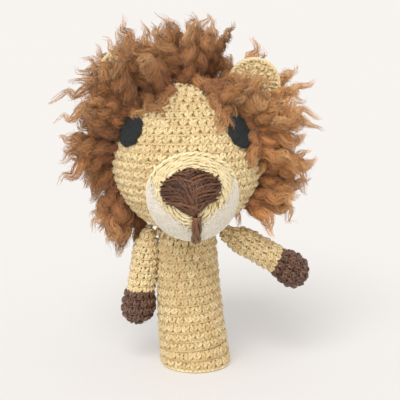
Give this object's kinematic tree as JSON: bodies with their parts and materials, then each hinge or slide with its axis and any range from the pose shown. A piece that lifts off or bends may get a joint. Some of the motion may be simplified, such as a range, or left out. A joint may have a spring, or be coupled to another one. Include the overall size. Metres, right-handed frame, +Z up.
{
  "type": "crocheted lion finger puppet",
  "caption": "Crocheted lion finger puppet: stuffed ball head with a brushed-yarn mane, round ears and a muzzle on an open finger sleeve with two stuffed arms.",
  "frame": {"origin": "middle of the puppet's footprint box, on the plane of the sleeve's open bottom edge, which it stands on; the centre of that edge is at (0.00276, 0.00338, 0)", "axes": "+Z up along the sleeve towards the head, -Y out of the face, +X towards the puppet's own left arm"},
  "size_m": [0.0854, 0.072, 0.1233],
  "materials": {
    "yellow_yarn": "satin",
    "white_yarn": "matte",
    "nose_yarn": "satin",
    "paw_yarn": "satin",
    "mane_yarn": "matte",
    "eye_felt": "matte",
    "fibre_fill": "matte"
  },
  "bodies": {
    "sleeve": {"body_sleeve": "yellow_yarn"},
    "neck_core": {"neck_stuffing": "fibre_fill"},
    "neck_seam": {"neck_seam_yarn": "yellow_yarn"},
    "head": {"head_shell": "yellow_yarn", "head_stuffing": "fibre_fill", "muzzle_cup": "yellow_yarn", "muzzle_stuffing": "fibre_fill", "muzzle_seam_yarn": "yellow_yarn", "chin_patch": "white_yarn", "nose_embroidery": "nose_yarn", "mouth_stitch": "nose_yarn", "right_eye_felt": "eye_felt", "left_eye_felt": "eye_felt", "mane_lock_01": "mane_yarn", "mane_lock_02": "mane_yarn", "mane_lock_03": "mane_yarn", "mane_lock_04": "mane_yarn", "mane_lock_05": "mane_yarn", "mane_lock_06": "mane_yarn", "mane_lock_07": "mane_yarn", "mane_lock_08": "mane_yarn", "mane_lock_09": "mane_yarn", "mane_lock_10": "mane_yarn", "mane_lock_11": "mane_yarn", "mane_lock_12": "mane_yarn", "mane_lock_13": "mane_yarn", "mane_lock_14": "mane_yarn", "mane_lock_15": "mane_yarn", "mane_lock_16": "mane_yarn", "mane_lock_17": "mane_yarn", "mane_lock_18": "mane_yarn", "mane_lock_19": "mane_yarn", "mane_lock_20": "mane_yarn", "mane_lock_21": "mane_yarn", "mane_lock_22": "mane_yarn", "mane_lock_23": "mane_yarn", "mane_lock_24": "mane_yarn", "mane_lock_25": "mane_yarn", "mane_lock_26": "mane_yarn", "mane_lock_27": "mane_yarn", "mane_lock_28": "mane_yarn", "mane_lock_29": "mane_yarn", "mane_lock_30": "mane_yarn", "mane_lock_31": "mane_yarn", "mane_lock_32": "mane_yarn", "mane_lock_33": "mane_yarn", "mane_lock_34": "mane_yarn"},
    "right_ear": {"right_ear": "yellow_yarn"},
    "left_ear": {"left_ear": "yellow_yarn"},
    "right_shoulder": {"right_shoulder_seam_yarn": "yellow_yarn"},
    "right_arm": {"right_arm_tube": "yellow_yarn", "right_paw_cap": "paw_yarn", "right_arm_stuffing": "fibre_fill"},
    "left_shoulder": {"left_shoulder_seam_yarn": "yellow_yarn"},
    "left_arm": {"left_arm_tube": "yellow_yarn", "left_paw_cap": "paw_yarn", "left_arm_stuffing": "fibre_fill"}
  },
  "joints": [
    {"name": "head_nod", "type": "hinge", "parent": "sleeve", "child": "neck_core", "pos_m": [-0.00044, 0.00338, 0.0505], "axis": [1, 0, 0], "range_deg": [-8, 10], "stiffness_Nm_per_rad": 0.05},
    {"name": "head_tilt", "type": "hinge", "parent": "neck_core", "child": "neck_seam", "pos_m": [-0.00044, 0.00338, 0.0505], "axis": [0, 1, 0], "range_deg": [-7, 7], "stiffness_Nm_per_rad": 0.05},
    {"name": "head_turn", "type": "hinge", "parent": "neck_seam", "child": "head", "pos_m": [-0.00044, 0.00338, 0.0505], "axis": [0, 0, 1], "range_deg": [-20, 20], "stiffness_Nm_per_rad": 0.05},
    {"name": "right_ear_fold", "type": "hinge", "parent": "head", "child": "right_ear", "pos_m": [-0.01737, 0.00438, 0.0983], "axis": [0.7965, 0, 0.6046], "range_deg": [-10, 10], "stiffness_Nm_per_rad": 0.01},
    {"name": "left_ear_fold", "type": "hinge", "parent": "head", "child": "left_ear", "pos_m": [0.01858, 0.00438, 0.09654], "axis": [0.7337, 0, -0.6794], "range_deg": [-10, 10], "stiffness_Nm_per_rad": 0.01},
    {"name": "right_arm_raise", "type": "hinge", "parent": "sleeve", "child": "right_shoulder", "pos_m": [-0.01404, 0.00338, 0.0485], "axis": [0, 1, 0], "range_deg": [-1, 66], "stiffness_Nm_per_rad": 0.01},
    {"name": "right_arm_swing", "type": "hinge", "parent": "right_shoulder", "child": "right_arm", "pos_m": [-0.01404, 0.00338, 0.0485], "axis": [-0.9885, 0, 0.1513], "range_deg": [-20, 20], "stiffness_Nm_per_rad": 0.01},
    {"name": "left_arm_raise", "type": "hinge", "parent": "sleeve", "child": "left_shoulder", "pos_m": [0.01316, 0.00338, 0.0485], "axis": [0, -1, 0], "range_deg": [-45, 16], "stiffness_Nm_per_rad": 0.01},
    {"name": "left_arm_swing", "type": "hinge", "parent": "left_shoulder", "child": "left_arm", "pos_m": [0.01316, 0.00338, 0.0485], "axis": [-0.512, 0, -0.859], "range_deg": [-20, 20], "stiffness_Nm_per_rad": 0.01}
  ]
}
